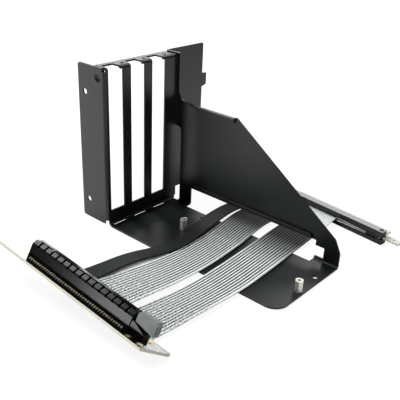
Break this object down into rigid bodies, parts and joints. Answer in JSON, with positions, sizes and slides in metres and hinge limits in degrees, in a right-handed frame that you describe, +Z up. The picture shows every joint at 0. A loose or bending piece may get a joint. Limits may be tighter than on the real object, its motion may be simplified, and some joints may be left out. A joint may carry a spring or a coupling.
{
  "type": "vertical graphics card bracket",
  "caption": "Folded black steel bracket that holds a graphics card upright in slot windows, with a flat ribbon riser running from a latched card slot through its gusset wall to a plug.",
  "frame": {"origin": "middle of the base plate's underside", "axes": "+Z up, +X away from the slot plate along the base plate, +Y from the open side to the gusset wall"},
  "size_m": [0.1961, 0.2344, 0.1175],
  "materials": {
    "powder_black": "semi-gloss",
    "nickel": "satin",
    "board_black": "satin",
    "slot_black": "satin",
    "gold": "polished",
    "latch_grey": "satin",
    "ribbon_grey": "glossy, fine lengthwise wires",
    "ribbon_black": "satin",
    "plug_grey": "satin",
    "plug_black": "satin",
    "plug_fr4": "satin",
    "screw_black": "satin"
  },
  "bodies": {
    "bracket_and_riser": {"bracket_sheet": "powder_black", "standoffs": "nickel", "slot_board": "board_black", "board_eyelets": "gold", "slot_housing": "slot_black", "slot_contacts": "gold", "ribbon_left": "ribbon_grey", "ribbon_right": "ribbon_grey", "ribbon_side": "ribbon_black", "plug_shell_top": "plug_grey", "plug_shell_bottom": "plug_black", "plug_board": "plug_fr4", "gold_fingers": "gold", "plug_screws": "screw_black"},
    "latch": {"slot_latch": "latch_grey"}
  },
  "joints": [
    {"name": "latch_hinge", "type": "hinge", "parent": "bracket_and_riser", "child": "latch", "pos_m": [0.0365, -0.1075, 0.01394], "axis": [-0.0567, 0.8949, -0.4426], "range_deg": [0, 8]}
  ]
}
